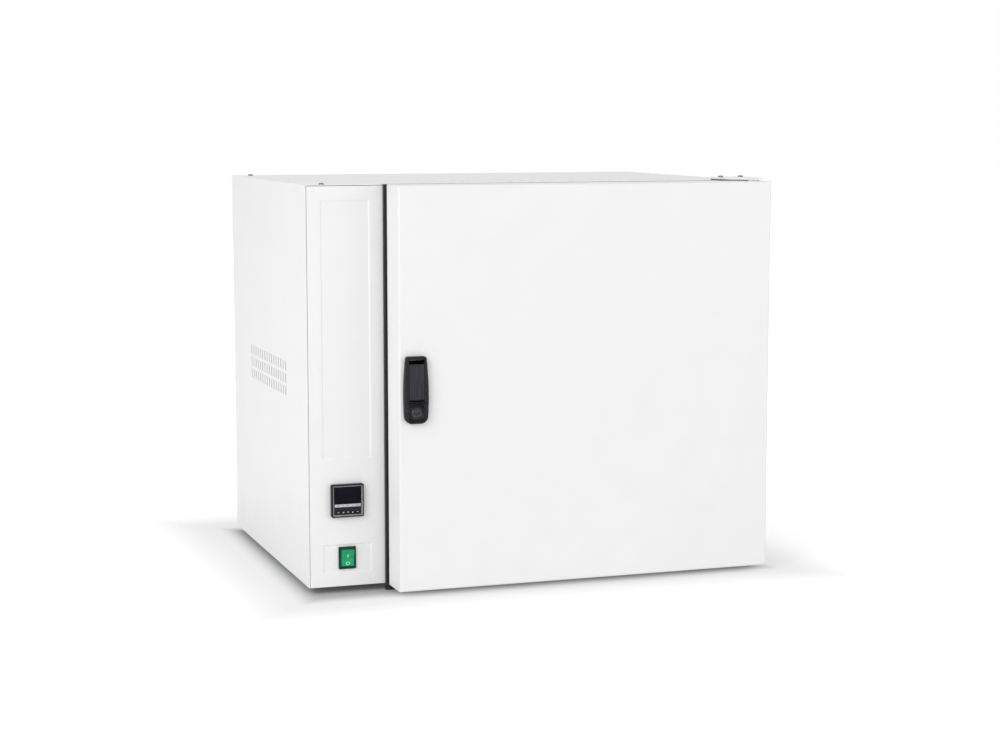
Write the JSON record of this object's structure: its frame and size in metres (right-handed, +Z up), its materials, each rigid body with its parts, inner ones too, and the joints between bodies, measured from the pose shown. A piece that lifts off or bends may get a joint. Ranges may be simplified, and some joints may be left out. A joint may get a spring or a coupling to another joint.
{
  "type": "laboratory drying oven",
  "caption": "Bench-top drying oven: insulated door with paddle latch, control column with temperature controller and rocker switch, fan-circulated steel chamber with shelves and exhaust damper.",
  "frame": {"origin": "middle of the oven on the surface that its feet stand on", "axes": "+X to the right seen from the front, +Y to the back, +Z up"},
  "size_m": [0.694, 0.628, 0.5967],
  "materials": {
    "white_case": "white powder coat",
    "black_frame": "black powder coat",
    "stainless": "brushed stainless",
    "wire": "polished stainless wire",
    "plain_steel": "zinc-plated",
    "wool": "mineral wool",
    "rubber": "matte",
    "silicone": "satin silicone",
    "black_plastic": "fine texture",
    "grey_plastic": "satin",
    "green_plastic": "translucent green",
    "dark_window": "smoked",
    "aluminium": "extruded",
    "nylon": "natural nylon",
    "heater_sheath": "oxidised sheath"
  },
  "bodies": {
    "cabinet": {"air_guide": "stainless", "base_pan": "plain_steel", "cable_gland": "black_plastic", "case_screws": "plain_steel", "chamber_insulation": "wool", "chamber_liner": "stainless", "column_divider": "plain_steel", "control_fascia": "white_case", "controller_bezel": "black_plastic", "controller_case": "black_plastic", "controller_clamp": "plain_steel", "controller_window": "dark_window", "exhaust_spigot": "stainless", "fan_motor": "black_plastic", "front_frame": "black_frame", "heat_sink": "aluminium", "hinge_screws": "plain_steel", "hinge_shims": "black_plastic", "latch_keeper": "plain_steel", "left_side_panel": "white_case", "lower_hinge_plate": "white_case", "lower_shelf": "wire", "motor_bracket": "plain_steel", "mounting_rail": "plain_steel", "rear_panel": "white_case", "right_side_panel": "white_case", "ring_heater": "heater_sheath", "rubber_feet": "rubber", "shelf_ladder_left": "stainless", "shelf_ladder_right": "stainless", "solid_state_relay": "black_plastic", "switch_housing": "black_plastic", "temperature_limiter": "black_plastic", "temperature_probe": "stainless", "terminal_block": "grey_plastic", "top_cover": "white_case", "upper_hinge_plate": "white_case", "upper_shelf": "wire"},
    "fan": {"fan_impeller": "stainless", "fan_shaft": "plain_steel"},
    "damper": {"damper_plate": "stainless", "damper_knob": "black_plastic"},
    "door": {"door_shell": "white_case", "door_inner_panel": "stainless", "door_insulation": "wool", "door_gasket": "silicone", "hinge_bushes": "nylon", "latch_body": "black_plastic", "paddle_pin": "plain_steel"},
    "paddle": {"latch_paddle": "black_plastic"},
    "hook": {"latch_hook": "plain_steel"},
    "lock": {"lock_cylinder": "black_plastic"},
    "rocker": {"switch_rocker": "green_plastic"},
    "key_1": {"controller_key_1": "grey_plastic"},
    "key_2": {"controller_key_2": "grey_plastic"},
    "key_3": {"controller_key_3": "grey_plastic"},
    "key_4": {"controller_key_4": "grey_plastic"},
    "key_5": {"controller_key_5": "grey_plastic"}
  },
  "joints": [
    {"name": "door_swing", "type": "hinge", "parent": "cabinet", "child": "door", "pos_m": [0.333, -0.272, 0.3], "axis": [0, 0, 1], "range_deg": [0, 120]},
    {"name": "paddle_pull", "type": "hinge", "parent": "door", "child": "paddle", "pos_m": [-0.2068, -0.309, 0.2904], "axis": [1, 0, 0], "range_deg": [0, 30], "stiffness_Nm_per_rad": 0.2, "springref_deg": -17.19},
    {"name": "hook_lift", "type": "slide", "parent": "door", "child": "hook", "axis": [0, 0, 1], "range_m": [0, 0.00852]},
    {"name": "lock_turn", "type": "hinge", "parent": "door", "child": "lock", "pos_m": [-0.2068, -0.305, 0.2688], "axis": [0, 1, 0], "range_deg": [0, 90]},
    {"name": "rocker_tip", "type": "hinge", "parent": "cabinet", "child": "rocker", "pos_m": [-0.29025, -0.2342, 0.0514], "axis": [-1, 0, 0], "range_deg": [0, 20]},
    {"name": "fan_spin", "type": "hinge", "parent": "cabinet", "child": "fan", "pos_m": [0.05675, 0.184, 0.3], "axis": [0, 1, 0], "continuous": true},
    {"name": "damper_turn", "type": "hinge", "parent": "cabinet", "child": "damper", "pos_m": [0.20675, 0.272, 0.445], "axis": [0, 0, 1], "range_deg": [0, 90]},
    {"name": "key_press_1", "type": "slide", "parent": "cabinet", "child": "key_1", "axis": [0, 1, 0], "range_m": [0, 0.0005], "stiffness_N_per_m": 300, "springref_m": -0.0005},
    {"name": "key_press_2", "type": "slide", "parent": "cabinet", "child": "key_2", "axis": [0, 1, 0], "range_m": [0, 0.0005], "stiffness_N_per_m": 300, "springref_m": -0.0005},
    {"name": "key_press_3", "type": "slide", "parent": "cabinet", "child": "key_3", "axis": [0, 1, 0], "range_m": [0, 0.0005], "stiffness_N_per_m": 300, "springref_m": -0.0005},
    {"name": "key_press_4", "type": "slide", "parent": "cabinet", "child": "key_4", "axis": [0, 1, 0], "range_m": [0, 0.0005], "stiffness_N_per_m": 300, "springref_m": -0.0005},
    {"name": "key_press_5", "type": "slide", "parent": "cabinet", "child": "key_5", "axis": [0, 1, 0], "range_m": [0, 0.0005], "stiffness_N_per_m": 300, "springref_m": -0.0005}
  ],
  "couplings": [
    {"joint": "hook_lift", "follows": "paddle_pull", "m_per_rad": 0.016234}
  ]
}
